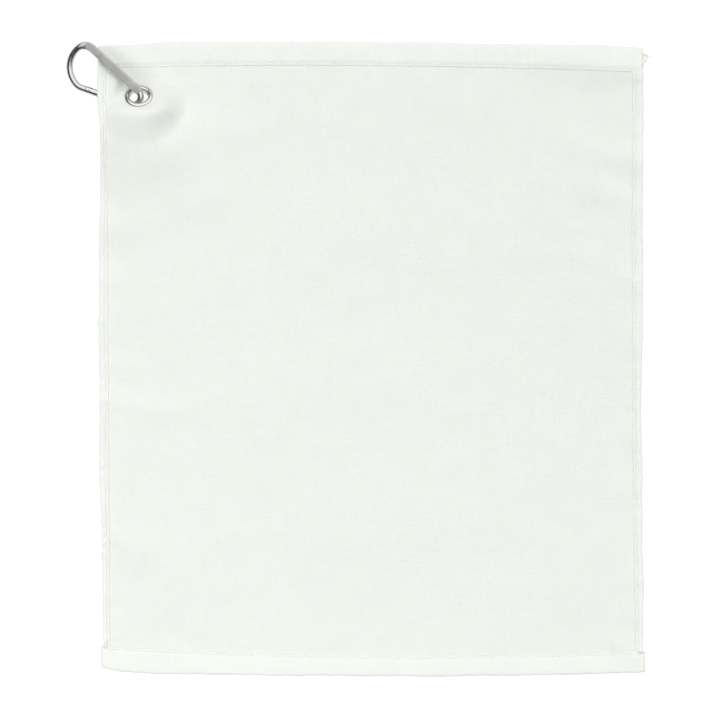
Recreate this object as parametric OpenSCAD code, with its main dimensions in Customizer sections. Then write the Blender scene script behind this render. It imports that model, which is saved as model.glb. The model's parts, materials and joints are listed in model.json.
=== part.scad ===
// Golf towel: a hemmed cotton sheet lying face up, with a rolled metal eyelet near its
// top left corner and a small clip with a sprung gate through the eyelet.
// X runs along the top hem, Y up the towel, Z up from the surface that it lies on.
// The origin is the middle of the towel's underside. All sizes are in millimetres.

/* [Towel] */
// Finished width between the side folds
towel_w = 388.6; // [330:0.2:480]
// Finished height at the sides
towel_h = 445; // [380:1:540]
// Thickness of one layer of cloth, measured upwards
cloth_t = 1.8; // [1.4:0.1:2.2]
// How far the top hem bows upwards in its middle
top_bow = 3.5; // [0:0.1:6]
// How far the bottom hem bows downwards in its middle
bottom_bow = 5.4; // [0:0.1:8]
// How far the right side bows inwards in its middle
side_bow = 1.6; // [0:0.1:3]
// How far the bottom hem lies to the right of the top hem
shear_x = 2.5; // [0:0.1:4]
// How far the left side lies above the right side
shear_y = 3.5; // [0:0.1:5]

/* [Hems] */
// Width of the top and bottom hems
end_hem_w = 16; // [12:0.5:20]
// Width of the left hem
left_hem_w = 6; // [5:0.5:9]
// Width of the right hem
right_hem_w = 7; // [5:0.5:9]
// Thickness of the folded cloth in a hem
hem_t = 3.2; // [2.6:0.1:3.4]
// Distance from a hem's inner edge to its line of stitches
seam_inset = 1.6; // [1.4:0.1:2]
// Width and depth of the sewing thread
thread = 0.5; // [0.3:0.1:0.6]

/* [Eyelet] */
// Distance of the eyelet's centre from the left side
eyelet_from_side = 29.4; // [27:0.1:31]
// Distance of the eyelet's centre below the top hem's outer fold
eyelet_from_top = 37; // [36:0.1:39]
// Radius of the hole through the eyelet
eyelet_hole_r = 6.6; // [6.4:0.1:6.8]
// Outer radius of the rolled flange
eyelet_r = 10; // [9.6:0.1:10.2]
// Height of the rolled flange
flange_h = 1.1; // [0.8:0.1:1.2]
// Thickness of the metal
eyelet_wall = 0.4; // [0.3:0.1:0.5]
// How far the eyelet leans back towards the top hem
eyelet_tilt = 37; // [35:0.5:39]
// Height of the cloth's underside at the eyelet's centre
eyelet_lift = 8.7; // [8.6:0.1:8.9]

/* [Clip] */
// Diameter of the bent rod
rod_d = 4.5; // [4.2:0.1:4.6]
// Diameter of the gate
gate_d = 4.8; // [4.6:0.1:5]
// Width of the flattened back of the clip
spine_w = 5.8; // [5:0.1:6]
// Thickness of the flattened back
spine_t = 3.2; // [2.8:0.1:3.4]
// Radius of the narrow bend that passes through the eyelet
narrow_r = 6.3; // [6.2:0.05:6.4]
// Angle between the gate and the back
gate_slope = 24; // [23.5:0.1:24.5]
// Direction from the eyelet towards the wide end, from +X
clip_azimuth = 137.4; // [136:0.1:139]
// How steeply the clip's plane leans down towards the gate
clip_tilt = 18; // [17:0.5:19]
// Height above the surface of the middle of the back
spine_z = 10.9; // [10.85:0.05:11.2]

/* [Hidden] */
$fn = 48;

// ---- the lie of the cloth ----

// Centre of the eyelet
eyelet_x = -towel_w / 2 + eyelet_from_side;
eyelet_y = towel_h / 2 + shear_y / 2 - eyelet_from_top;
// A point on the back of the clip beside the eyelet, where the narrow bend begins
clip_x = eyelet_x + 0.5;
clip_y = eyelet_y + 3.3;
// Highest that the cloth's underside is propped up along the gate
tent_h = 11.6;
// Where the tent starts and stops rising, measured from the back towards the gate
tent_start = -5;
tent_end = 12;
// How far the top of the tent reaches around the gate, and how far its foot does
tent_flat = 14;
tent_foot = 76;
// Past the eyelet, from this far along the clip's line, nothing holds the cloth up. Each
// millimetre further on makes the tent's slope this much wider
tent_loose = 9;
tent_spread = 1.6;
// Flat disc of cloth round the eyelet, and how far out it has melted into the tent: beside
// the clip, and below the eyelet or past it, where the cloth falls away slowly
disc_r = 12.8;
disc_blend = 18.5;
disc_blend_low = 36;
// How soon one gives way to the other round the eyelet
blend_turn = 1.4;
// Between these distances below the eyelet's centre, the disc rounds over to level
knee_start = 10;
knee_end = 14;

function smooth(t) = let (c = min(1, max(0, t))) c * c * (3 - 2 * c);
function arch(t) = 4 * t * (1 - t);

// Distance across the clip from its back towards its gate
function across(x, y) = -(x - clip_x) * sin(clip_azimuth) + (y - clip_y) * cos(clip_azimuth);

// Width that the tent's slope gains past the eyelet
function loosened(x, y) =
    let (past = -(x - clip_x) * cos(clip_azimuth) - (y - clip_y) * sin(clip_azimuth))
    tent_spread * max(0, past - tent_loose);

// Distance from the line that runs under the propped-up cloth, from the eyelet to the side
ridge_a = [eyelet_x + 6, eyelet_y - 10];
ridge_b = [eyelet_x - 36, eyelet_y + 3];
ridge_len2 = (ridge_b - ridge_a) * (ridge_b - ridge_a);
function ridge_distance(p) =
    let (t = min(1, max(0, (p - ridge_a) * (ridge_b - ridge_a) / ridge_len2)))
    norm(p - ridge_a - t * (ridge_b - ridge_a));

function tent(x, y) =
    let (wider = loosened(x, y))
    tent_h
    * smooth((across(x, y) - tent_start + wider / 2) / (tent_end - tent_start + wider))
    * (1 - smooth((ridge_distance([x, y]) - tent_flat) / (tent_foot - tent_flat)));

// How far up the disc's slope a point d below the eyelet's centre is
function knee(d) =
    let (c = min(d, knee_end))
    d < knee_start ? d
    : (knee_start + knee_end) / 2 - (knee_end - c) * (knee_end - c) / (knee_end - knee_start) / 2;

// Height of the cloth's underside over the surface
function lie(x, y) =
    let (
        from = [x - eyelet_x, y - eyelet_y],
        out = norm(from),
        clear = max(-from[1], -from * [cos(clip_azimuth), sin(clip_azimuth)]),
        slow = smooth(blend_turn * clear / max(out, 1)),
        reach = disc_blend + slow * (disc_blend_low - disc_blend),
        melt = smooth((out - disc_r) / (reach - disc_r)),
        disc = max(0, eyelet_lift + knee(eyelet_y - y) * tan(eyelet_tilt))
    )
    melt * tent(x, y) + (1 - melt) * disc;

// A point of the cloth: a from the left side, b from the bottom, h above its underside
function on_cloth(a, b, h) =
    let (
        s = a / towel_w,
        t = b / towel_h,
        x = (s - 0.5) * towel_w + shear_x * (1 - t) - s * side_bow * arch(t),
        y = (t - 0.5) * towel_h + shear_y * (0.5 - s)
            + t * top_bow * arch(s) - (1 - t) * bottom_bow * arch(s)
    )
    [x, y, lie(x, y) + h];

// Lines of the grid, close together where the cloth is propped up
fine = 3;
corner_w = 60;
corner_h = 81;
inner_r = towel_w - right_hem_w;
inner_t = towel_h - end_hem_w;
across_lines = concat(
    [for (i = [0 : corner_w / fine]) left_hem_w + i * fine],
    [for (i = [1 : 6]) left_hem_w + corner_w + i * 8],
    [for (i = [1 : 6]) left_hem_w + corner_w + 48 + i * (inner_r - left_hem_w - corner_w - 48) / 6]
);
up_lines = concat(
    [for (i = [0 : 6]) end_hem_w + i * (inner_t - end_hem_w - corner_h - 40) / 6],
    [for (i = [1 : 5]) inner_t - corner_h - 40 + i * 8],
    [for (i = [1 : corner_h / fine]) inner_t - corner_h + i * fine]
);
full_across = concat([0], across_lines, [towel_w]);

// ---- solids that follow the cloth ----

// Where a point of a strip lies: d in from an edge of the towel, c along it
function along_edge(edge, d, c, h) =
    edge == "left" ? on_cloth(d, c, h)
    : edge == "right" ? on_cloth(towel_w - d, c, h)
    : edge == "top" ? on_cloth(c, towel_h - d, h)
    : on_cloth(c, d, h);

// A closed strip of cloth along one edge of the towel. Each column is [d, low, high]:
// its distance in from the edge, and the heights of its lower and upper faces
module strip(edge, columns, stations) {
    turned = edge == "right" || edge == "bottom";
    cols = turned ? [for (i = [len(columns) - 1 : -1 : 0]) columns[i]] : columns;
    m = len(cols);
    n = len(stations);
    size = m * n;
    points = [for (face = [1, 2]) for (col = cols) for (c = stations)
        along_edge(edge, col[0], c, col[face])];
    top = [for (i = [0 : m - 2]) for (j = [0 : n - 2])
        let (p = size + i * n + j)
        each [[p, p + 1, p + n], [p + 1, p + n + 1, p + n]]];
    bottom = [for (i = [0 : m - 2]) for (j = [0 : n - 2])
        let (p = i * n + j)
        each [[p, p + n, p + 1], [p + 1, p + n, p + n + 1]]];
    rim = concat(
        [for (j = [0 : n - 2]) j],
        [for (i = [0 : m - 2]) i * n + n - 1],
        [for (j = [n - 1 : -1 : 1]) (m - 1) * n + j],
        [for (i = [m - 1 : -1 : 1]) i * n]
    );
    r = len(rim);
    side = [for (k = [0 : r - 1])
        let (p = rim[k], q = rim[(k + 1) % r])
        each [[p, q, p + size], [q, q + size, p + size]]];
    polyhedron(points, concat(top, bottom, side));
}

// Folded hem: a round outer fold, and two grooves that its threads are pulled into
groove_wall = 0.05;
function hem_columns(w) =
    let (
        r = hem_t / 2,
        seam_out = w - seam_inset - thread / 2,
        seam_in = w - seam_inset + thread / 2
    )
    concat(
        [for (a = [12, 40, 65, 90]) [r - r * cos(a), r - r * sin(a), r + r * sin(a)]],
        [[seam_out - groove_wall, 0, hem_t], [seam_out, thread, hem_t - thread]],
        [[seam_in, thread, hem_t - thread], [seam_in + groove_wall, 0, hem_t - 0.1]],
        [[w - 0.4, 0, hem_t - 0.4], [w, 0, cloth_t]]
    );

function thread_columns(w, low) =
    [for (side = [-1, 1]) [w - seam_inset + side * thread / 2, low, low + thread]];

// ---- the towel ----

module towel_panel() {
    color("whitesmoke")
    difference() {
        strip("left", [for (a = across_lines) [a, 0, cloth_t]], up_lines);
        at_eyelet() cylinder(r = eyelet_hole_r + eyelet_wall, h = 24, center = true);
    }
}

module hem(edge, w, stations) {
    color("white")
    strip(edge, hem_columns(w), stations);
}

module needle_thread(edge, w, stations) {
    color("gainsboro")
    strip(edge, thread_columns(w, hem_t - thread), stations);
}

module bobbin_thread(edge, w, stations) {
    color("gainsboro")
    strip(edge, thread_columns(w, 0), stations);
}

// ---- the eyelet ----

// Frame of the eyelet: Z along its axis, the cloth's upper face at 0
module at_eyelet() {
    translate([eyelet_x, eyelet_y, eyelet_lift + cloth_t])
    rotate([-eyelet_tilt, 0, 0])
    children();
}

grip_t = cloth_t * cos(eyelet_tilt);
washer_t = 0.8;

// Domed flange above the cloth, barrel through it and a rolled lip under the washer
module eyelet() {
    ring_w = eyelet_r - eyelet_hole_r;
    dome_r = (ring_w * ring_w / 4 + flange_h * flange_h) / (2 * flange_h);
    color("silver")
    at_eyelet()
    rotate_extrude() {
        intersection() {
            translate([eyelet_hole_r + ring_w / 2, flange_h - dome_r]) circle(dome_r);
            translate([eyelet_hole_r, 0]) square([ring_w, flange_h]);
        }
        translate([eyelet_hole_r, -grip_t - washer_t - eyelet_wall])
            square([eyelet_wall, grip_t + washer_t + eyelet_wall]);
        translate([eyelet_hole_r, -grip_t - washer_t - eyelet_wall])
            square([eyelet_wall + 1, eyelet_wall]);
    }
}

module eyelet_washer() {
    color("silver")
    at_eyelet()
    translate([0, 0, -grip_t - washer_t])
    difference() {
        cylinder(r = eyelet_r - 0.4, h = washer_t);
        translate([0, 0, -1]) cylinder(r = eyelet_hole_r + eyelet_wall, h = washer_t + 2);
    }
}

// ---- the clip ----

// Frame of the clip: X along its back towards the narrow end, the gate on the -Y side
module at_clip() {
    translate([clip_x, clip_y, spine_z])
    rotate([0, 0, clip_azimuth - 180])
    rotate([clip_tilt, 0, 0])
    children();
}

function polar(r, a) = [r * cos(a), r * sin(a)];
// Where a left-hand bend leads from a point p with heading a
function bend_centre(p, a, r) = p + polar(r, a + 90);
function bend_end(p, a, r, turn) = bend_centre(p, a, r) + polar(r, a + turn - 90);

// The narrow bend starts here and turns back to the gate's line
narrow_start = [-1.7, 0];
narrow_centre = narrow_start + [0, -narrow_r];
narrow_turn = 180 - gate_slope;
narrow_end = narrow_centre + polar(narrow_r, 90 - narrow_turn);

// The wide end is three bends of different radius, that together turn to the gate's line
wide_r = [8.5, 17.95, 10];
wide_turn = [80, 90, 10 + gate_slope];
// Heading at the start of each of the three
wide_a = [180, 180 + wide_turn[0], 180 + wide_turn[0] + wide_turn[1]];
wide_p1 = bend_end([0, 0], wide_a[0], wide_r[0], wide_turn[0]);
wide_p2 = bend_end(wide_p1, wide_a[1], wide_r[1], wide_turn[1]);
wide_p3 = bend_end(wide_p2, wide_a[2], wide_r[2], wide_turn[2]);

// Length of the gate's line, and the start of the wide end that closes the loop
gate_line = (narrow_end[1] - wide_p3[1]) / sin(gate_slope);
wide_start = [narrow_end[0] - gate_line * cos(gate_slope) - wide_p3[0], 0];

// The rod is drawn with this many sides and a station every so many degrees of bend
rod_sides = 32;
bend_step = 9;
// It goes from round to flat over the last degrees of the narrow bend, and stays flat for
// the first degrees of the wide end. The flat's upper edges have this radius
press_narrow = 34;
press_wide = 20;
press_corner = 0.8;

// After its last bend the rod runs straight for this far, up to the gate's free end
nose_straight = 3;
// The pivot sits this far along the gate's line
pivot_s = 4.5;
pivot = narrow_end + polar(pivot_s, 180 + gate_slope);
nose_x = gate_line - pivot_s - nose_straight;

// Clearances of the moving gate: at its ends, beside the tongues, round a pin, in the notch
end_gap = 0.3;
side_gap = 0.1;
pin_gap = 0.05;
notch_gap = 0.2;
// The two tongues that the gate's forked ends close over: thickness, half width, and how
// far each runs back into the rod, past the pivot, and past the latch pin
tongue_t = 1.9;
tang_half = 1.9;
root = 1;
tang_x = 1.5;
hook_reach = 2;
// The pins, and where the latch pin sits
pivot_pin_r = 0.8;
latch_pin_r = 0.7;
latch_x = nose_x - 3.2;
// How far each pin's ends are sunk below the gate's surface
pin_sunk = 0.05;
latch_sunk = 0.15;
// The bore for the spring, the slot at its mouth and the plunger in it
bore_r = 1.15;
bore_end = 14;
slot_end = 2.4;
plunger_r = 0.95;
plunger_start = tang_x + pin_gap;
plunger_end = 5.5;
// How far two solids of one piece run into each other
overlap = 0.1;

// Frame of the gate: origin at its pivot, X towards the nose, Z along the pivot
module at_gate() {
    at_clip()
    translate(pivot)
    rotate([0, 0, 180 + gate_slope])
    children();
}

// Hole across the gate or one of its tongues
module bore(r) {
    cylinder(r = r, h = 2 * gate_d, center = true);
}

module rod_x(from, to, d) {
    translate([from, 0, 0]) rotate([0, 90, 0]) cylinder(d = d, h = to - from);
}

// Flat bar lying in the clip's plane
module plate(from, to, half, t) {
    translate([from, -half, -t / 2]) cube([to - from, 2 * half, t]);
}

// The bent rod, pressed flat along its back, as one sweep from the tang to the nose.
// Each station is [point, heading, how flat from 0 to 1]. Along a bend, the rod is round
// at the turn round_at and pressed flat at the turn flat_at
function bend_stations(p, a, r, turn, round_at = 1, flat_at = 0) =
    let (n = ceil(turn / bend_step))
    [for (i = [1 : n])
        let (t = turn * i / n)
        [bend_end(p, a, r, t), a + t, smooth((t - round_at) / (flat_at - round_at))]];

// The rod's outline at a station, at the angle round it: out from the bends, and up. Where
// it is pressed flat, its upper edges are crisp and its lower ones are round
function rod_outline(round, flat) =
    let (
        c = cos(round),
        s = sin(round),
        corner = s > 0 ? press_corner : spine_t / 2,
        pressed = [
            c * corner + sign(c) * (spine_w / 2 - corner),
            s * corner + sign(s) * (spine_t / 2 - corner)
        ]
    )
    (1 - flat) * [c, s] * rod_d / 2 + flat * pressed;

module bent_rod() {
    stub = pivot_s - gate_d / 2 - end_gap;
    stations = concat(
        [[narrow_end + polar(stub, 180 + gate_slope), gate_slope, 0]],
        [[narrow_end, gate_slope, 0]],
        bend_stations(
            narrow_end, gate_slope, narrow_r, narrow_turn, narrow_turn - press_narrow, narrow_turn
        ),
        [[wide_start, 180, 1]],
        bend_stations(wide_start, wide_a[0], wide_r[0], wide_turn[0], wide_turn[0], press_wide),
        bend_stations(wide_start + wide_p1, wide_a[1], wide_r[1], wide_turn[1]),
        bend_stations(wide_start + wide_p2, wide_a[2], wide_r[2], wide_turn[2]),
        [[wide_start + wide_p3 + polar(nose_straight, gate_slope), gate_slope, 0]]
    );
    last = len(stations) - 1;
    points = [for (s = stations) for (i = [0 : rod_sides - 1])
        let (
            outline = rod_outline(360 * (i + 0.5) / rod_sides, s[2]),
            p = s[0] + polar(outline[0], s[1] - 90)
        )
        [p[0], p[1], outline[1]]];
    walls = [for (k = [0 : last - 1]) for (i = [0 : rod_sides - 1])
        let (p = k * rod_sides + i, q = k * rod_sides + (i + 1) % rod_sides)
        each [[p, q, p + rod_sides], [q, q + rod_sides, p + rod_sides]]];
    ends = [
        [for (i = [rod_sides - 1 : -1 : 0]) i],
        [for (i = [0 : rod_sides - 1]) last * rod_sides + i]
    ];
    polyhedron(points, concat(walls, ends));
}

// Tang that carries the gate's pivot
module tang() {
    difference() {
        plate(-gate_d / 2 - end_gap - root, tang_x, tang_half, tongue_t);
        bore(pivot_pin_r);
    }
}

// Tongue on the nose, with a notch that the latch pin swings out of
module nose() {
    notch_r = latch_pin_r + notch_gap;
    difference() {
        plate(latch_x - hook_reach, nose_x + root, tang_half, tongue_t);
        translate([latch_x, 0, 0]) {
            bore(notch_r);
            translate([0, -gate_d / 2, 0]) cube([2 * notch_r, gate_d, 2 * gate_d], center = true);
        }
    }
}

module clip_body() {
    color("silver") {
        at_clip() bent_rod();
        at_gate() {
            tang();
            nose();
        }
    }
}

module gate_rivet() {
    color("gray")
    at_gate() cylinder(r = pivot_pin_r, h = gate_d - 2 * pin_sunk, center = true);
}

module gate() {
    length = nose_x - end_gap;
    color("silver")
    at_gate()
    difference() {
        union() {
            rod_x(0, length, gate_d);
            intersection() {
                rod_x(-gate_d / 2, overlap, gate_d);
                cylinder(d = gate_d, h = gate_d, center = true);
            }
        }
        plate(-gate_d, slot_end, gate_d, tongue_t + 2 * side_gap);
        plate(latch_x - hook_reach - end_gap, length + 1, gate_d, tongue_t + 2 * side_gap);
        bore(pivot_pin_r + pin_gap);
        translate([latch_x, 0, 0]) bore(latch_pin_r);
        rod_x(slot_end - overlap, bore_end, 2 * bore_r);
    }
}

module latch_pin() {
    color("gray")
    at_gate() translate([latch_x, 0, 0])
        cylinder(r = latch_pin_r, h = gate_d - 2 * latch_sunk, center = true);
}

// Compression spring between the plunger and the blind end of the gate's bore
module gate_spring() {
    wire_r = 0.17;
    coil_r = 0.8;
    turns = 7;
    steps = 12;
    sides = 6;
    length = bore_end - plunger_end - 2 * wire_r - 0.04;
    rings = turns * steps;
    points = [for (k = [0 : rings]) for (i = [0 : sides - 1])
        let (
            turn = 360 * k / steps,
            round = 360 * i / sides,
            r = coil_r + wire_r * cos(round)
        )
        [
            plunger_end + 0.02 + wire_r + length * k / rings + wire_r * sin(round),
            r * cos(turn),
            r * sin(turn)
        ]];
    walls = [for (k = [0 : rings - 1]) for (i = [0 : sides - 1])
        let (p = k * sides + i, q = k * sides + (i + 1) % sides)
        each [[p, q, p + sides], [q, q + sides, p + sides]]];
    ends = [[for (i = [sides - 1 : -1 : 0]) i], [for (i = [0 : sides - 1]) rings * sides + i]];
    color("dimgray")
    at_gate() polyhedron(points, concat(walls, ends));
}

module gate_plunger() {
    color("gray")
    at_gate() rod_x(plunger_start, plunger_end, 2 * plunger_r);
}

towel_panel();
hem("top", end_hem_w, full_across);  // top_hem
hem("bottom", end_hem_w, full_across);  // bottom_hem
hem("left", left_hem_w, up_lines);  // left_hem
hem("right", right_hem_w, up_lines);  // right_hem
needle_thread("top", end_hem_w, full_across);  // top_needle_thread
needle_thread("bottom", end_hem_w, full_across);  // bottom_needle_thread
needle_thread("left", left_hem_w, up_lines);  // left_needle_thread
needle_thread("right", right_hem_w, up_lines);  // right_needle_thread
bobbin_thread("top", end_hem_w, full_across);  // top_bobbin_thread
bobbin_thread("bottom", end_hem_w, full_across);  // bottom_bobbin_thread
bobbin_thread("left", left_hem_w, up_lines);  // left_bobbin_thread
bobbin_thread("right", right_hem_w, up_lines);  // right_bobbin_thread
eyelet();
eyelet_washer();
clip_body();
gate_rivet();
gate();
latch_pin();
gate_spring();
gate_plunger();
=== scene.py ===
"""A golf towel lying face up, with a metal eyelet and a spring clip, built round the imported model."""

import json
import math
import random

import bmesh
import bpy
import numpy as np
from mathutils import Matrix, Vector


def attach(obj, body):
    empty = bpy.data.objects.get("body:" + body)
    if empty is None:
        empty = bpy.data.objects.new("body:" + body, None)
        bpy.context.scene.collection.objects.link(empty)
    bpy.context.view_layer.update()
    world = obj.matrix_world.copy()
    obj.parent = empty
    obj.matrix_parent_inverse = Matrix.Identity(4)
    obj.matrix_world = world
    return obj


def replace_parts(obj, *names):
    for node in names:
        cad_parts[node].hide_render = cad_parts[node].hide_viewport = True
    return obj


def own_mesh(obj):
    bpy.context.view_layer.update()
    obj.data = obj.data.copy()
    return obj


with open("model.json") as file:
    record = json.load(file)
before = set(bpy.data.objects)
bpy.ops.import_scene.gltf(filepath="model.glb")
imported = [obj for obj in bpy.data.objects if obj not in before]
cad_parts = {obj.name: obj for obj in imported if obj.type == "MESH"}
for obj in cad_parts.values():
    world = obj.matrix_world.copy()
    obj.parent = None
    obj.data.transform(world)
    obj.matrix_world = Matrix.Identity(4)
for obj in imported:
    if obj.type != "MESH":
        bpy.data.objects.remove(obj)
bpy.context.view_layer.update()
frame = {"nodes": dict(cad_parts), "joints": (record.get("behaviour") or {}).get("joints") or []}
JOINTS = {j["name"]: j for j in frame["joints"]}
MM = 0.001

# The towel's sizes in millimetres, as in the CAD source
TOWEL_W, TOWEL_H = 388.6, 445.0
CLOTH_T, HEM_T = 1.8, 3.2
HEM_W = {"top": 16.0, "bottom": 16.0, "left": 6.0, "right": 7.0}
SEAM_INSET = 1.6
SEAM_H = 2.3
EYELET = np.array(JOINTS["clip_swivel"]["pos_m"]) / MM
EYELET_TILT = math.radians(37)
EYELET_LIFT = EYELET[2] - CLOTH_T
CLIP_AZIMUTH = math.radians(137.4)

# Sizes of the visible pieces: where each hem starts and ends along its edge, its stitches, the hole
HEM_ENDS = {"top": (0.0, TOWEL_W), "bottom": (-0.3, TOWEL_W - 1.0)}
SIDE_HEM_ENDS = (15.2, TOWEL_H - 15.2)
STITCH_PITCH = 2.9
EYELET_HOLE_R = 8.2

# How the cloth lies over the clip: propped up into a tent, and tilted with the eyelet's disc
TENT_H, TENT_RIDGE = 11.6, (0.5, 3.3)
TENT_CORE, TENT_FOOT = 14, 62
TENT_RISE, TENT_LOOSE, TENT_SPREAD = 17, 9, 1.6
DISC_R, DISC_BLEND, DISC_BLEND_LOW = 12.8, 18.5, 36.0
BLEND_TURN = 1.4


# ---- the lie of the cloth ----

def smooth(t):
    """An eased rise from 0 at t = 0 to 1 at t = 1."""
    c = np.clip(t, 0.0, 1.0)
    return c * c * (3 - 2 * c)


def arch(t):
    """0 at both ends of 0 to 1, and 1 in the middle."""
    return 4 * t * (1 - t)


def plan(a, b):
    """Where a point of the cloth lies: a from the left side, b from the bottom."""
    s, t = a / TOWEL_W, b / TOWEL_H
    x = (s - 0.5) * TOWEL_W + 2.5 * (1 - t) - s * 1.6 * arch(t)
    y = (t - 0.5) * TOWEL_H + 3.5 * (0.5 - s) + t * 3.5 * arch(s) - (1 - t) * 5.4 * arch(s)
    return x, y


def segment_distance(x, y, start, end):
    """Distance from points to the line between start and end."""
    dx, dy = end[0] - start[0], end[1] - start[1]
    t = np.clip(((x - start[0]) * dx + (y - start[1]) * dy) / (dx * dx + dy * dy), 0, 1)
    return np.hypot(x - start[0] - t * dx, y - start[1] - t * dy)


def tent(x, y):
    """Height to which the clip props the cloth up over its gate."""
    dx, dy = x - EYELET[0] - TENT_RIDGE[0], y - EYELET[1] - TENT_RIDGE[1]
    c, s = math.cos(CLIP_AZIMUTH), math.sin(CLIP_AZIMUTH)
    over = dy * c - dx * s
    wider = TENT_SPREAD * np.maximum(0, -dx * c - dy * s - TENT_LOOSE)
    away = segment_distance(x, y, EYELET[:2] + (6, -10), EYELET[:2] + (-36, 3))
    rise = smooth((over + 5 + wider / 2) / (TENT_RISE + wider))
    return TENT_H * rise * (1 - smooth((away - TENT_CORE) / TENT_FOOT))


def lie(x, y):
    """Height of the cloth's underside over the floor."""
    right, down = x - EYELET[0], EYELET[1] - y
    out = np.hypot(right, down)
    clear = np.maximum(down, down * math.sin(CLIP_AZIMUTH) - right * math.cos(CLIP_AZIMUTH))
    slow = smooth(BLEND_TURN * clear / np.maximum(out, 1))
    reach = DISC_BLEND + slow * (DISC_BLEND_LOW - DISC_BLEND)
    melt = smooth((out - DISC_R) / (reach - DISC_R))
    # The disc's slope eases off to level from 10 to 14 mm below the eyelet
    knee = np.where(down < 10, down, 12 - (14 - np.minimum(down, 14)) ** 2 / 8)
    disc = np.maximum(0, EYELET_LIFT + knee * math.tan(EYELET_TILT))
    return melt * tent(x, y) + (1 - melt) * disc


def waves(u, v, length, seed, count=14):
    """Smooth random hills about one high, of about this wavelength."""
    rng = np.random.default_rng(seed)
    low, high = (0, 0, 0.6), (6.283, 6.283, 1.5)
    total = 0.0
    for turn, phase, ripple in rng.uniform(low, high, (count, 3)):
        k = ripple * 2 * math.pi / length
        total = total + np.sin(k * (u * math.cos(turn) + v * math.sin(turn)) + phase)
    return total / math.sqrt(count)


# Soft folds in the cloth: start, end, half width and height, in the cloth's own millimetres
FOLDS = [
    ((8, 318), (84, 338), 17, 1.8),
    ((64, 388), (112, 380), 10, 0.7),
    ((6, 192), (48, 183), 7, 0.9),
    ((48, 183), (78, 190), 9, 0.5),
    ((2, 112), (26, 84), 12, 1.5),
    ((26, 84), (34, 22), 12, 1.0),
    ((318, 436), (388, 428), 12, 1.9),
    ((352, 405), (380, 398), 16, -0.7),
    ((336, 377), (388, 364), 10, 1.1),
    ((342, 346), (388, 334), 10, 1.0),
    ((290, 297), (352, 297), 7, 0.4),
    ((352, 297), (386, 279), 8, 0.6),
    ((332, 52), (348, 86), 11, 0.7),
    ((352, 30), (366, 4), 9, -0.7),
    ((370, 20), (388, 14), 8, 1.6),
    ((12, 22), (16, 4), 6, 0.8),
]


def free(a, b):
    """0 beside the clip, where the cloth must keep clear of it, and 1 away from it."""
    return smooth((segment_distance(a, b, (34, 404), (-14, 450)) - 20) / 22)


def fold_height(a, b):
    """Height of the folds and puckers above the plain lie of the cloth."""
    z = 0.9 + 0.55 * waves(a, b, 120, 3) + 0.16 * waves(a, b, 46, 4)
    for start, end, width, height in FOLDS:
        z = z + height * np.exp(-((segment_distance(a, b, start, end) / width) ** 2))
    z = z + 0.55 * waves(b, 0, 26, 5) * np.exp(-np.abs(a - 6) / 15)
    z = z + 0.35 * waves(b, 0, 30, 6) * np.exp(-np.abs(TOWEL_W - 7 - a) / 14)
    z = z + 0.20 * waves(a, 0, 22, 7) * np.exp(-np.abs(TOWEL_H - 16 - b) / 9)
    z = z + 0.22 * waves(a, 0, 24, 8) * np.exp(-np.abs(b - 16) / 9)
    for c, gap, seed in ((b, a - 6, 9), (b, TOWEL_W - 7 - a, 11), (a, TOWEL_H - 16 - b, 13), (a, b - 16, 15)):
        z = z + 0.16 * pucker(c, seed) * np.exp(-np.abs(gap) / 3.5)
    return np.maximum(z, 0.02) * free(a, b)


def pucker(c, seed):
    """Short waves along a seam, from the pull of its stitches."""
    return 0.6 * waves(c, 0, 9, seed) + 0.4 * waves(c, 0, 4.5, seed + 1)


def on_cloth(a, b, h):
    """Points in metres, h over the cloth's underside."""
    x, y = plan(a, b)
    return np.stack([x, y, lie(x, y) + fold_height(a, b) + h], axis=-1) * MM


def along_edge(edge, d, c):
    """Cloth coordinates of a point d in from an edge and c along it."""
    return {
        "left": (d, c),
        "right": (TOWEL_W - d, c),
        "top": (c, TOWEL_H - d),
        "bottom": (c, d),
    }[edge]


# ---- mesh helpers ----

def mesh_piece(name, points, faces, body, slot, materials):
    mesh = bpy.data.meshes.new(name)
    mesh.from_pydata([tuple(p) for p in points], [], faces)
    mesh.validate()
    mesh.polygons.foreach_set("use_smooth", [True] * len(mesh.polygons))
    for m in materials:
        mesh.materials.append(m)
    piece = bpy.data.objects.new(name, mesh)
    bpy.context.scene.collection.objects.link(piece)
    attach(piece, body)
    return piece


def outward(piece):
    """Turns the faces of a closed piece to face out."""
    bm = bmesh.new()
    bm.from_mesh(piece.data)
    bmesh.ops.recalc_face_normals(bm, faces=bm.faces)
    bm.to_mesh(piece.data)
    bm.free()
    return piece


def loft(rings, closed_ends=True):
    """Points and faces of a tube through rings of the same number of points."""
    n, m = len(rings), len(rings[0])
    faces = [
        (k * m + i, k * m + (i + 1) % m, (k + 1) * m + (i + 1) % m, (k + 1) * m + i)
        for k in range(n - 1)
        for i in range(m)
    ]
    if closed_ends:
        faces += [tuple(range(m - 1, -1, -1)), tuple(range((n - 1) * m, n * m))]
    return np.concatenate(rings), faces


# ---- materials ----

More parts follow.
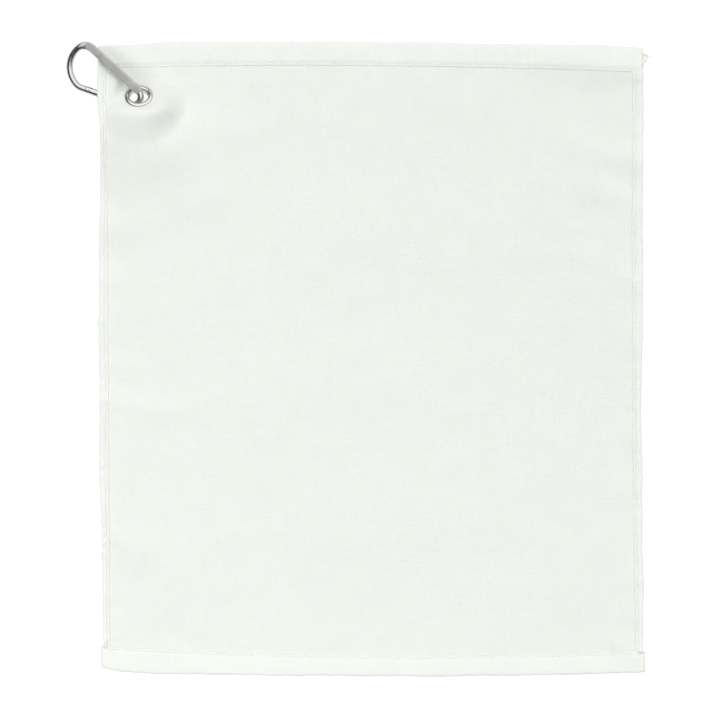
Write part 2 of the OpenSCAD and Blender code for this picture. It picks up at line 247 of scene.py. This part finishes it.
class Nodes:
    """A material under construction."""

    def __init__(self, name):
        self.material = bpy.data.materials.new(name)
        self.material.use_nodes = True
        self.tree = self.material.node_tree
        self.shader = self.tree.nodes["Principled BSDF"]
        self.place = self.add("ShaderNodeTexCoord").outputs["Object"]

    def add(self, kind, **values):
        node = self.tree.nodes.new(kind)
        for key, value in values.items():
            if key in node.inputs:
                node.inputs[key].default_value = value
            else:
                setattr(node, key, value)
        return node

    def link(self, source, target):
        self.tree.links.new(source, target)

    def set(self, **values):
        for key, value in values.items():
            self.shader.inputs[key.replace("_", " ")].default_value = value

    def noise(self, scale, stretch=(1, 1, 1), detail=3.0, rough=0.5):
        mapping = self.add("ShaderNodeMapping")
        mapping.inputs["Scale"].default_value = tuple(scale * s for s in stretch)
        self.link(self.place, mapping.inputs["Vector"])
        texture = self.add("ShaderNodeTexNoise", Scale=1.0, Detail=detail, Roughness=rough)
        self.link(mapping.outputs["Vector"], texture.inputs["Vector"])
        return texture.outputs["Fac"]

    def ramp(self, value, low, high, a, b):
        node = self.add("ShaderNodeMapRange")
        node.inputs["From Min"].default_value = low
        node.inputs["From Max"].default_value = high
        node.inputs["To Min"].default_value = a
        node.inputs["To Max"].default_value = b
        self.link(value, node.inputs["Value"])
        return node.outputs["Result"]

    def maths(self, what, a, b):
        node = self.add("ShaderNodeMath", operation=what)
        for socket, value in zip(node.inputs, (a, b)):
            if isinstance(value, (int, float)):
                socket.default_value = value
            else:
                self.link(value, socket)
        return node.outputs["Value"]

    def shade(self, dark, light, value):
        node = self.add("ShaderNodeMix", data_type="RGBA")
        node.inputs[6].default_value = (*dark, 1)
        node.inputs[7].default_value = (*light, 1)
        self.link(value, node.inputs[0])
        return node.outputs[2]

    def bump(self, height, distance, strength=1.0, below=None):
        node = self.add("ShaderNodeBump", Strength=strength, Distance=distance)
        self.link(height, node.inputs["Height"])
        if below is not None:
            self.link(below, node.inputs["Normal"])
        return node.outputs["Normal"]


def towelling(name, light, dark, pile):
    """Sheared cotton velour: fine pile, slubs along both threads and a faint mottle."""
    m = Nodes(name)
    weft = m.noise(1000, (0.05, 0.9, 0.9), 2)
    warp = m.noise(1000, (0.9, 0.04, 0.9), 2)
    nap = m.noise(1400, detail=4, rough=0.7)
    mottle = m.noise(55, detail=5, rough=0.6)
    threads = m.maths("ADD", weft, warp)
    mix = m.maths("ADD", m.ramp(threads, 0.7, 1.3, 0.0, 0.38), m.ramp(mottle, 0.3, 0.7, 0.0, 0.36))
    mix = m.maths("ADD", mix, m.ramp(nap, 0.3, 0.7, 0.0, 0.26))
    m.link(m.shade(dark, light, mix), m.shader.inputs["Base Color"])
    m.link(m.ramp(nap, 0.3, 0.7, 0.82, 0.98), m.shader.inputs["Roughness"])
    woven = m.bump(threads, 0.00022, 0.5)
    m.link(m.bump(nap, 0.0006 * pile, 0.55, woven), m.shader.inputs["Normal"])
    m.set(Sheen_Weight=0.18, Sheen_Roughness=0.6, Specular_IOR_Level=0.15)
    return m.material


def sewing_thread(name):
    """Two twisted plies of bright cotton."""
    m = Nodes(name)
    twist = m.add("ShaderNodeTexWave", wave_type="BANDS", bands_direction="DIAGONAL", Scale=900.0)
    m.link(m.place, twist.inputs["Vector"])
    ply = m.shade((0.60, 0.61, 0.58), (0.80, 0.81, 0.78), twist.outputs["Fac"])
    m.link(ply, m.shader.inputs["Base Color"])
    m.link(m.bump(twist.outputs["Fac"], 0.0001, 0.6), m.shader.inputs["Normal"])
    m.link(m.ramp(m.noise(2500), 0.3, 0.7, 0.55, 0.8), m.shader.inputs["Roughness"])
    m.set(Sheen_Weight=0.2, Specular_IOR_Level=0.3)
    return m.material


def polished(name, dark, light, rough, haze):
    """Bright metal with faint haze, fine rubbing marks and small dents."""
    m = Nodes(name)
    clouds = m.noise(160, detail=4)
    rubs = m.noise(900, (1, 0.08, 1), 3)
    m.link(m.shade(dark, light, clouds), m.shader.inputs["Base Color"])
    m.link(m.ramp(m.maths("ADD", clouds, rubs), 0.7, 1.3, rough, rough + haze), m.shader.inputs["Roughness"])
    dents = m.noise(420, detail=2)
    m.link(m.bump(dents, 0.00012, 0.25, m.bump(rubs, 0.00002, 0.3)), m.shader.inputs["Normal"])
    m.set(Metallic=1.0, Specular_Tint=(0.35, 0.35, 0.35, 1))
    return m.material


def satin(name, dark, light):
    """Blasted metal: matt grey with a fine sparkling grain."""
    m = Nodes(name)
    grain = m.noise(2600, detail=3, rough=0.8)
    clouds = m.noise(90, detail=4)
    mix = m.maths("ADD", m.ramp(grain, 0.3, 0.7, 0.0, 0.7), m.ramp(clouds, 0.3, 0.7, 0.0, 0.3))
    m.link(m.shade(dark, light, mix), m.shader.inputs["Base Color"])
    m.link(m.ramp(grain, 0.3, 0.7, 0.42, 0.66), m.shader.inputs["Roughness"])
    m.link(m.bump(grain, 0.00012, 0.5), m.shader.inputs["Normal"])
    m.set(Metallic=0.55, Specular_IOR_Level=0.4)
    return m.material


def floor_material():
    """Lit white table top."""
    m = Nodes("floor_paper")
    m.link(m.shade((0.22, 0.22, 0.22), (0.25, 0.25, 0.25), m.noise(3)), m.shader.inputs["Base Color"])
    m.link(m.ramp(m.noise(400), 0.3, 0.7, 0.9, 1.0), m.shader.inputs["Roughness"])
    m.set(Specular_IOR_Level=0.0, Emission_Color=(1, 1, 1, 1), Emission_Strength=0.85)
    return m.material


CLOTH = towelling("towelling", (0.775, 0.795, 0.750), (0.735, 0.755, 0.712), 1.0)
HEM = towelling("towelling_folded", (0.80, 0.82, 0.775), (0.755, 0.775, 0.732), 0.8)
STITCH = sewing_thread("sewing_thread")
CHROME = polished("nickel_plate", (0.56, 0.56, 0.55), (0.68, 0.68, 0.67), 0.10, 0.10)
ROD = polished("polished_rod", (0.50, 0.50, 0.49), (0.62, 0.62, 0.61), 0.12, 0.12)
GATE = polished("polished_gate", (0.54, 0.54, 0.53), (0.66, 0.66, 0.65), 0.12, 0.12)
SATIN = satin("satin_grey", (0.26, 0.265, 0.25), (0.68, 0.685, 0.66))
STEEL = polished("pin_steel", (0.45, 0.45, 0.45), (0.62, 0.62, 0.62), 0.2, 0.15)
SPRING = polished("spring_steel", (0.30, 0.30, 0.31), (0.42, 0.42, 0.43), 0.25, 0.15)


# ---- the towel ----

def spread(start, end, step):
    """Evenly spaced values from start to end, about a step apart."""
    return np.linspace(start, end, max(2, round((end - start) / step) + 1))


def holed_grid(out, hole_r):
    """Faces of a grid of points, without the cells that come nearer the eyelet than this."""
    n, m = out.shape
    return [
        (i * m + j, (i + 1) * m + j, (i + 1) * m + j + 1, i * m + j + 1)
        for i in range(n - 1)
        for j in range(m - 1)
        if out[i : i + 2, j : j + 2].min() > hole_r
    ]


def round_hole(points, rim, out):
    """Draws the stepped rim of the eyelet's hole in to a circle, on both faces of the cloth."""
    for v in rim:
        if out[v] < 20:
            k = EYELET_HOLE_R / out[v]
            for w in (v, v + len(out)):
                x, y = points[w][:2] / MM - EYELET[:2]
                points[w][2] += y * (1 - k) * math.tan(EYELET_TILT) * MM
                points[w][:2] = (EYELET[:2] + np.array([x, y]) * k) * MM


def towel_cloth():
    """The single layer between the hems, tucked a little way into them."""
    tuck = 1.2
    a = spread(HEM_W["left"] - tuck, TOWEL_W - HEM_W["right"] + tuck, 2.0)
    b = spread(HEM_W["bottom"] - tuck, TOWEL_H - HEM_W["top"] + tuck, 2.0)
    grid_a, grid_b = np.meshgrid(a, b, indexing="ij")
    x, y = plan(grid_a, grid_b)
    out = np.hypot(x - EYELET[0], (y - EYELET[1]) / math.cos(EYELET_TILT))
    up = holed_grid(out, EYELET_HOLE_R - 1.0)
    size = out.size
    down = [tuple(size + v for v in reversed(f)) for f in up]
    edges = dict.fromkeys((p, q) for f in up for p, q in zip(f, f[1:] + f[:1]))
    rim = [(q, p, p + size, q + size) for p, q in edges if (q, p) not in edges]
    faces = up + down + rim
    upper, under = on_cloth(grid_a, grid_b, CLOTH_T), on_cloth(grid_a, grid_b, 0.1)
    points = np.concatenate([upper.reshape(-1, 3), under.reshape(-1, 3)])
    round_hole(points, {v for f in rim for v in f[:2]}, out.reshape(-1))
    used = sorted({v for f in faces for v in f})
    index = {v: i for i, v in enumerate(used)}
    faces = [tuple(index[v] for v in f) for f in faces]
    piece = mesh_piece("towel_cloth", points[used], faces, "towel", "towelling", [CLOTH])
    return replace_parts(piece, "towel_panel")


def hem_profile(w):
    """A folded hem from its inner underside round the outer fold: (in from the edge, height)."""
    r = HEM_T / 2
    seam = w - SEAM_INSET
    under = [(d, 0.0) for d in np.linspace(w - 0.1, r, 5)]
    half_turn = np.linspace(math.pi / 2, -math.pi / 2, 13)[1:-1]
    fold = [(r - r * math.cos(t), r - r * math.sin(t)) for t in half_turn]
    inwards = np.linspace(r, seam - 0.9, 7)
    crown = [(d, HEM_T - 0.5 * float(smooth((d - r) / (seam - r)))) for d in inwards]
    groove = [(seam - 0.5, SEAM_H + 0.16), (seam, SEAM_H), (seam + 0.5, SEAM_H + 0.14)]
    lip = [(w - 0.5, SEAM_H + 0.1), (w - 0.12, SEAM_H - 0.12), (w, CLOTH_T + 0.1), (w, 0.8)]
    return np.array(under + fold + crown + groove + lip)


def fold_pull(edge, c):
    """How far a hem's outer fold is drawn in from the plain outline, c along it."""
    s, t = c / TOWEL_W, c / TOWEL_H
    if edge == "bottom":
        corner = 2.8 * np.clip(1 - c / 15, 0, 1) ** 2
        return corner + 3.0 * smooth(s / 0.45) - 1.4 - 1.0 * smooth((s - 0.8) / 0.2)
    if edge == "top":
        return -0.9 - 1.3 * smooth((s - 0.75) / 0.2)
    if edge == "left":
        return 1.4 - 2.3 * (smooth((t - 0.02) / 0.35) - smooth((t - 0.62) / 0.2))
    return 1.5 * smooth((0.7 - t) / 0.4) + 1.0 * smooth((0.15 - t) / 0.12) - 0.7


def hem(edge):
    """One folded edge, puffed and puckered between its stitches, over its whole length."""
    w = HEM_W[edge]
    seam = w - SEAM_INSET
    seed = 20 + 10 * sorted(HEM_W).index(edge)
    profile = hem_profile(w)
    c = spread(*HEM_ENDS.get(edge, SIDE_HEM_ENDS), 1.4)[:, None]
    d, h = profile[:, 0][None, :], profile[:, 1][None, :]
    calm = free(*along_edge(edge, d, c))
    high = h / HEM_T
    slack = {"left": 0.42, "right": 0.3}.get(edge, 0.2)
    puff = np.sin(math.pi * np.minimum(1.0, d / seam)) * (0.15 + slack * pucker(c, seed))
    puff = puff + np.where(d > seam - 2, 0.14 * pucker(1.7 * c, seed + 3), 0)
    waver = 0.16 * waves(c, 0, 9, seed + 5) + 0.3 * waves(c, 0, 60, seed + 6) + fold_pull(edge, c)
    a, b = along_edge(edge, d + waver * calm * (1 - d / w), c)
    points, faces = loft(list(on_cloth(a, b, h + puff * high * calm)))
    piece = outward(mesh_piece("hem_" + edge, points, faces, "towel", "towelling", [HEM]))
    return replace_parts(piece, edge + "_hem")


def gather(parts):
    """Many small closed meshes as one: points and faces."""
    points, faces, base = [], [], 0
    for part_points, part_faces in parts:
        points.append(part_points)
        faces += [tuple(base + v for v in f) for f in part_faces]
        base += len(part_points)
    return np.concatenate(points), faces


def capsule(start, end, width, height, sag):
    """A stitch from start to end that dives into the cloth at both ends."""
    along = end - start
    length = np.linalg.norm(along)
    along = along / length
    side = np.cross(along, (0, 0, 1))
    side = side / np.linalg.norm(side)
    up = np.cross(side, along)
    rings = []
    for t in (0.0, 0.12, 0.35, 0.65, 0.88, 1.0):
        lift = math.sin(math.pi * t)
        size = 0.35 + 0.65 * min(1.0, 3 * lift)
        centre = start + along * length * t + up * sag * (lift - 1)
        rings.append(np.array([
            centre + side * (width / 2 * size * math.cos(k)) + up * (height / 2 * size * math.sin(k))
            for k in np.arange(6) * math.pi / 3
        ]))
    return loft(rings)


def stitches(edge, upper):
    """One line of separate stitches along a hem."""
    ends = (1.5, TOWEL_W - 1.5) if edge in ("top", "bottom") else (16.5, TOWEL_H - 16.5)
    rng = np.random.default_rng(sorted(HEM_W).index(edge) * 2 + upper)
    count = round((ends[1] - ends[0]) / STITCH_PITCH)
    pitch = (ends[1] - ends[0]) / count
    height = SEAM_H + 0.1 if upper else 0.24
    seam = HEM_W[edge] - SEAM_INSET
    c = ends[0] + pitch * (np.arange(count)[:, None] + np.array([[0.08, 0.92]]))
    a, b = along_edge(edge, seam + rng.uniform(-0.14, 0.14, c.shape), c)
    places = on_cloth(a, b, height)
    thread_w, thread_h, sag = 0.55 * MM, 0.42 * MM, (0.22 if upper else -0.05) * MM
    points, faces = gather([capsule(start, end, thread_w, thread_h, sag) for start, end in places])
    name = ("needle" if upper else "bobbin") + "_stitches_" + edge
    piece = outward(mesh_piece(name, points, faces, "towel", "thread", [STITCH]))
    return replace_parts(piece, edge + ("_needle_thread" if upper else "_bobbin_thread"))


def strand(points, radius, sides=5):
    """A thin thread through points in metres."""
    rings = []
    for k, p in enumerate(points):
        along = points[min(k + 1, len(points) - 1)] - points[max(k - 1, 0)]
        side = np.cross(along, (0.1, 0.2, 1.0))
        side = side / np.linalg.norm(side)
        up = np.cross(side, along)
        up = up / np.linalg.norm(up)
        thin = radius * (1 - 0.5 * k / (len(points) - 1))
        turns = np.arange(sides) * 2 * math.pi / sides
        rings.append(np.array([p + thin * (side * math.cos(t) + up * math.sin(t)) for t in turns]))
    return loft(rings)


def edge_fibres():
    """The loose fibres of the pile that stand out from the folded edges."""
    rng = np.random.default_rng(17)
    out = {"left": (-1, 0), "right": (1, 0), "top": (0, 1), "bottom": (0, -1)}
    parts = []
    for edge, (ox, oy) in out.items():
        span = TOWEL_W if edge in ("top", "bottom") else TOWEL_H
        for c in rng.uniform(6, span - 6, round(span / 0.9)):
            a, b = along_edge(edge, 0.25 + float(fold_pull(edge, np.float64(c))), c)
            if float(free(a, b)) < 0.5:
                continue
            root = on_cloth(np.float64(a), np.float64(b), rng.uniform(0.8, 2.4)) / MM
            lean = np.array([oy, ox]) * rng.uniform(-1.2, 1.2)
            tip = np.array([ox + lean[0], oy + lean[1], rng.uniform(-0.3, 0.5)])
            tip = tip / np.linalg.norm(tip) * rng.uniform(0.35, 1.1)
            bow = np.array([lean[0], lean[1], 0.4]) * rng.uniform(-0.2, 0.2)
            points = [(root + tip * t + bow * 4 * t * (1 - t)) * MM for t in (0.0, 0.33, 0.66, 1.0)]
            parts.append(strand(points, 0.05 * MM, 3))
    return outward(mesh_piece("edge_fibres", *gather(parts), "towel", "towelling", [HEM]))


def frayed_threads(name, a, b, spread_b, heading, count, length, seed):
    """Loose ends of thread that stick out of a corner."""
    rng = random.Random(seed)
    parts = []
    for _ in range(count):
        x, y = plan(a + rng.uniform(-0.5, 0.3), b + rng.uniform(-spread_b, spread_b))
        z = rng.uniform(0.7, 2.6)
        turn = math.radians(heading + rng.uniform(-55, 55))
        reach = length * rng.uniform(0.35, 1.0)
        curl = rng.uniform(-1.2, 1.2)
        points = []
        for t in np.linspace(0, 1, 7):
            now = turn + curl * t
            points.append(np.array([
                x + reach * t * math.cos(now), y + reach * t * math.sin(now), max(0.2, z * (1 - 0.6 * t))
            ]) * MM)
        parts.append(strand(points, 0.1 * MM))
    return outward(mesh_piece(name, *gather(parts), "towel", "thread", [STITCH]))


def corner_flap():
    """The end of the top hem's turned edge, which shows past the right side."""
    rings = []
    for t in np.linspace(0, 1, 16):
        d = 1.2 + 13.5 * t
        belly = math.sin(math.pi * min(1, t * 1.45 + 0.08)) ** 0.8
        reach = 3.9 * (belly if t < 0.62 else 0.35 * (1 - t) / 0.38)
        k = np.linspace(0, 2 * math.pi, 20, endpoint=False)
        a = TOWEL_W - 1.5 + (reach + 1.5) * (0.5 + 0.5 * np.cos(k))
        h = 1.0 + 0.6 * t + (0.8 - 0.3 * t) * np.sin(k) + 0.25 * np.cos(2 * k + 5 * t)
        rings.append(on_cloth(a, np.full_like(a, TOWEL_H - d), np.maximum(h, 0.05)))
    points, faces = loft(rings)
    return outward(mesh_piece("hem_flap_top_right", points, faces, "towel", "towelling", [HEM]))


def corner_tip():
    """The curled point of the same fold."""
    rings = []
    for t in np.linspace(0, 1, 12):
        k = np.linspace(0, 2 * math.pi, 16, endpoint=False)
        r = 1.15 * (1 - 0.72 * t)
        a = np.full_like(k, TOWEL_W - 2.5 + 8.6 * t)
        b = TOWEL_H - 1.6 - 3.4 * t * t + r * (1.1 * np.cos(k) + 0.2 * np.cos(3 * k + 6 * t))
        rings.append(on_cloth(a, b, np.maximum(0.05, 1.5 + 0.5 * t + r * np.sin(k))))
    points, faces = loft(rings)
    return outward(mesh_piece("hem_tip_top_right", points, faces, "towel", "towelling", [HEM]))


# ---- the eyelet ----

def eyelet_frame():
    """The rotation from the eyelet's own axes to the frame's."""
    c, s = math.cos(EYELET_TILT), math.sin(EYELET_TILT)
    return np.array([[1, 0, 0], [0, c, s], [0, -s, c]])


def spun(name, profile, nodes, material, slot):
    """A ring turned about the eyelet's axis from a closed profile of (radius, height)."""
    turn = eyelet_frame()
    steps = 96
    rings = []
    for k in range(steps):
        t = 2 * math.pi * k / steps
        ring = [turn @ np.array([r * math.cos(t), r * math.sin(t), h]) + EYELET for r, h in profile]
        rings.append(np.array(ring) * MM)
    points, faces = loft(rings + [rings[0]], closed_ends=False)
    count = steps * len(profile)
    faces = [tuple(v % count for v in f) for f in faces]
    piece = outward(mesh_piece(name, points[:count], faces, "towel", slot, [material]))
    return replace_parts(piece, nodes)


def eyelet_ring():
    """Rolled flange with a turned step, barrel, and the lip that is rolled over the washer."""
    washer_t, lip_t = 0.8, 0.4
    low = -CLOTH_T * math.cos(EYELET_TILT) - washer_t - lip_t
    face = [(9.94, 0.02)]
    face += [(8.35 + 1.65 * math.cos(t), 0.1 + 1.0 * math.sin(t)) for t in np.radians(np.arange(5, 176, 10))]
    face += [(6.66, -0.05), (6.6, -0.3)]
    barrel = [(6.6, low * 0.5), (6.6, low + 0.25)]
    lip = [(6.72, low + 0.06), (6.95, low), (7.7, low), (7.98, low + 0.12)]
    back = [(8.0, low + 0.3), (7.9, low + lip_t), (7.05, low + lip_t), (7.0, low * 0.5), (7.0, 0.02)]
    return spun("eyelet_ring", face + barrel + lip + back, "eyelet", CHROME, "eyelet_metal")


# ---- the clip ----

ROD_D, GATE_D = 4.5, 4.8
SPINE_W, SPINE_T = 5.8, 3.2
SLOPE = 24.0


def polar(r, degrees):
    """A flat vector of length r at an angle in degrees."""
    return np.array([r * math.cos(math.radians(degrees)), r * math.sin(math.radians(degrees))])


def bend(p, heading, r, turn):
    """Where a left-hand bend of this much turn leads."""
    return p + polar(r, heading + 90) + polar(r, heading + turn - 90)


NARROW_R = 6.3
BACK_START = np.array([-1.7, 0.0])
NARROW_END = bend(BACK_START, 180, NARROW_R, SLOPE - 180)
WIDE = [(180.0, 8.5, 80.0), (260.0, 17.95, 90.0), (350.0, 10.0, 10 + SLOPE)]


def clip_lengths():
    """Where the back ends, and the length of the gate's line, so that the loop closes."""
    p = np.zeros(2)
    for heading, r, turn in WIDE:
        p = bend(p, heading, r, turn)
    gate_line = (NARROW_END[1] - p[1]) / math.sin(math.radians(SLOPE))
    return np.array([NARROW_END[0] - gate_line * math.cos(math.radians(SLOPE)) - p[0], 0.0]), gate_line


BACK_END, GATE_LINE = clip_lengths()
PIVOT_S = 4.5
PIVOT = NARROW_END + polar(PIVOT_S, 180 + SLOPE)
NOSE_STRAIGHT = 3.0
NOSE_X = GATE_LINE - PIVOT_S - NOSE_STRAIGHT
LATCH_X = NOSE_X - 3.2


def clip_axes():
    """The clip's plane in the row frame, from the gate's joint: origin, X, Y and Z."""
    joint = JOINTS["gate_pivot"]
    z = -np.array(joint["axis"], float)
    x = np.cross((0, 0, 1), z)
    x = x / np.linalg.norm(x)
    y = np.cross(z, x)
    return np.array(joint["pos_m"]) / MM - PIVOT[0] * x - PIVOT[1] * y, x, y, z


def clip_point(p, z):
    """The point in metres at p in the clip's plane and z over it."""
    origin, ax, ay, az = clip_axes()
    return (origin + p[0] * ax + p[1] * ay + z * az) * MM


def gate_point(x, y, z):
    """The point in metres at x along the closed gate, y across it and z over the clip's plane."""
    return clip_point(PIVOT + x * polar(1, 180 + SLOPE) + y * polar(1, 270 + SLOPE), z)


def clip_stations():
    """Stations of the bent rod: point, heading, and how flat it is pressed."""
    stations = [(NARROW_END + polar(t, 180 + SLOPE), SLOPE, 0.0) for t in (1.8, 1.65, 0.8, 0.0)]
    whole, pressing = 180 - SLOPE, 34
    for t in np.linspace(0, whole, 53)[1:]:
        flat = float(smooth((t - whole + pressing) / pressing))
        stations.append((bend(NARROW_END, SLOPE, NARROW_R, t), SLOPE + t, flat))
    stations += [(BACK_START + t * (BACK_END - BACK_START), 180.0, 1.0) for t in np.linspace(0, 1, 20)[1:]]
    p = BACK_END
    for k, (heading, r, turn) in enumerate(WIDE):
        for t in np.linspace(0, turn, round(turn / 2.5))[1:]:
            flat = float(smooth((turn - t) / (turn - 20))) if k == 0 else 0.0
            stations.append((bend(p, heading, r, t), heading + t, flat))
        p = bend(p, heading, r, turn)
    stations += [(p + polar(t, SLOPE), SLOPE, 0.0) for t in (0.5, NOSE_STRAIGHT - 0.15, NOSE_STRAIGHT)]
    return stations


def rod_section(flat, shrink=0.0):
    """Round, or pressed flat with crisp upper edges: (outwards, upwards)."""
    section = []
    half = 22
    r = ROD_D / 2 - shrink
    for k in range(2 * half):
        t = math.pi * (k + 0.5) / half
        c, s = math.cos(t), math.sin(t)
        corner = 0.8 if s > 0 else SPINE_T / 2
        pressed_u = c * corner + math.copysign(SPINE_W / 2 - corner, c)
        pressed_v = s * corner + math.copysign(SPINE_T / 2 - corner, s)
        section.append(((1 - flat) * c * r + flat * pressed_u, (1 - flat) * s * r + flat * pressed_v))
    return section


def clip_rod():
    """The bent rod of the clip: satin where it is pressed flat, polished elsewhere."""
    stations = clip_stations()
    last = len(stations) - 1
    rings = []
    for k, (p, heading, flat) in enumerate(stations):
        section = rod_section(flat, shrink=0.15 if k in (0, last) else 0.0)
        rings.append(np.array([clip_point(p + polar(u, heading - 90), v) for u, v in section]))
    points, faces = loft(rings)
    piece = mesh_piece("clip_rod", points, faces, "clip", "clip_metal", [ROD, SATIN])
    m = len(rings[0])
    for polygon in piece.data.polygons[: last * m]:
        k = polygon.index // m
        pressed = 0.8 if stations[k][1] > 180 else 0.3
        polygon.material_index = int(min(stations[k][2], stations[k + 1][2]) > pressed)
    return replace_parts(outward(piece), "clip_body")


def tongue(name, outline):
    """A flat tongue in the gate's plane, with its edges eased."""
    half_t = 0.95
    bm = bmesh.new()
    low = [bm.verts.new(gate_point(x, y, -half_t)) for x, y in outline]
    high = [bm.verts.new(gate_point(x, y, half_t)) for x, y in outline]
    n = len(outline)
    bm.faces.new(list(reversed(low)))
    bm.faces.new(high)
    for i in range(n):
        bm.faces.new((low[i], low[(i + 1) % n], high[(i + 1) % n], high[i]))
    bmesh.ops.recalc_face_normals(bm, faces=bm.faces)
    sharp = [e for e in bm.edges if e.calc_face_angle(0) > 0.6]
    easing = dict(offset=0.12 * MM, segments=2, profile=0.5, affect="EDGES", clamp_overlap=True)
    bmesh.ops.bevel(bm, geom=sharp, **easing)
    mesh = bpy.data.meshes.new(name)
    bm.to_mesh(mesh)
    bm.free()
    mesh.materials.append(ROD)
    piece = bpy.data.objects.new(name, mesh)
    bpy.context.scene.collection.objects.link(piece)
    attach(piece, "clip")
    return piece


def clip_tongues():
    """The tang that carries the gate, and the nose with the notch that its pin hooks into."""
    half, notch = 1.9, 0.9
    root, tip = -GATE_D / 2 - 1.2, 1.5
    tongue("clip_tang", [(root, -half), (tip, -half), (tip, half), (root, half)])
    tip, root = LATCH_X - 2, NOSE_X + 0.9
    mouth = [(LATCH_X + notch * math.cos(t), notch * math.sin(t)) for t in np.linspace(math.pi, 0, 13)]
    lower = [(tip, -half), (LATCH_X - notch, -half)] + mouth + [(LATCH_X + notch, -half), (root, -half)]
    tongue("clip_nose", lower + [(root, half), (tip, half)])


def gate_coil():
    """The gate's spring, which shortens as the plunger is pushed back."""
    start, end, wire, coil = 5.54, 13.96, 0.17, 0.8
    turns, steps = 7, 24
    rings = []
    for k in range(turns * steps + 1):
        turn = 2 * math.pi * k / steps
        x = start + wire + (end - start - 2 * wire) * k / (turns * steps)
        ring = []
        for t in np.arange(8) * math.pi / 4:
            r = coil + wire * math.cos(t)
            ring.append(gate_point(x + wire * math.sin(t), r * math.cos(turn), r * math.sin(turn)))
        rings.append(np.array(ring))
    points, faces = loft(rings)
    piece = outward(mesh_piece("gate_coil", points, faces, "gate", "spring_steel", [SPRING]))
    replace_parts(piece, "gate_spring")
    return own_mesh(piece)


def refinish(node, material):
    """A CAD node that stays, with smooth shading and a better material."""
    obj = frame["nodes"][node]
    obj.data.materials.clear()
    obj.data.materials.append(material)
    weld = obj.modifiers.new("weld", "WELD")
    weld.merge_threshold = 0.000002
    obj.data.polygons.foreach_set("use_smooth", [True] * len(obj.data.polygons))
    split = obj.modifiers.new("edges", "EDGE_SPLIT")
    split.split_angle = math.radians(32)
    return obj


# ---- floor, light and camera ----

def floor():
    bpy.ops.mesh.primitive_plane_add(size=8, location=(0, 0, 0))
    sheet = bpy.context.object
    sheet.name = "floor"
    sheet.data.materials.append(floor_material())


def softbox(name, place, size, power):
    """A square soft light that faces the middle of the towel."""
    lamp = bpy.data.lights.new(name, "AREA")
    lamp.shape = "RECTANGLE"
    lamp.size, lamp.size_y = size
    lamp.energy = power
    light = bpy.data.objects.new(name, lamp)
    light.location = place
    light.rotation_euler = (-Vector(place)).to_track_quat("-Z", "Y").to_euler()
    light.visible_camera = False
    light.visible_glossy = False
    bpy.context.scene.collection.objects.link(light)


def sky():
    """A bright patch from overhead down to the wall behind, and dark walls elsewhere."""
    world = bpy.data.worlds.new("studio")
    world.use_nodes = True
    tree = world.node_tree
    place = tree.nodes.new("ShaderNodeTexCoord")
    aim = tree.nodes.new("ShaderNodeVectorMath")
    aim.operation = "DOT_PRODUCT"
    aim.inputs[1].default_value = (0.25, 0.42, 0.87)
    ramp = tree.nodes.new("ShaderNodeValToRGB")
    for stop, (cosine, grey) in zip(ramp.color_ramp.elements, ((0.50, 0.03), (0.62, 1.0))):
        stop.position = cosine
        stop.color = (grey, grey, grey, 1)
    tree.links.new(place.outputs["Generated"], aim.inputs[0])
    tree.links.new(aim.outputs["Value"], ramp.inputs["Fac"])
    tree.links.new(ramp.outputs["Color"], tree.nodes["Background"].inputs["Color"])
    tree.nodes["Background"].inputs["Strength"].default_value = 1.46
    bpy.context.scene.world = world


def camera():
    """Straight down on the towel, from far enough that it looks square."""
    lens = bpy.data.cameras.new("camera")
    lens.lens = 140
    lens.sensor_width = 36
    lens.clip_end = 20
    eye = bpy.data.objects.new("camera", lens)
    eye.location = (-0.0075, -0.0004, 2.002)
    bpy.context.scene.collection.objects.link(eye)
    bpy.context.scene.camera = eye


camera()
floor()
sky()
softbox("key", (-2.3, -1.6, 2.75), (2.5, 2.5), 74)
bpy.context.scene.view_settings.view_transform = "Standard"

cloth = towel_cloth()
HEMS = [hem(edge) for edge in HEM_W]
for edge in HEM_W:
    stitches(edge, upper=True)
    stitches(edge, upper=False)
FOLDED = [corner_flap(), corner_tip(), edge_fibres()]
frayed_threads("frayed_threads_top_right", TOWEL_W + 1.5, TOWEL_H - 5, 3, -25, 6, 2.4, 1)
frayed_threads("frayed_threads_bottom_right", TOWEL_W - 1.1, 9.5, 6.5, -5, 34, 1.7, 2)
frayed_threads("thread_tail_bottom_left", 0.4, 14, 1.5, 185, 4, 2.6, 3)

eyelet_ring()
clip_rod()
clip_tongues()
refinish("eyelet_washer", CHROME)
refinish("gate", GATE)
refinish("gate_rivet", STEEL)
refinish("latch_pin", STEEL)
refinish("gate_plunger", STEEL)
gate_coil()
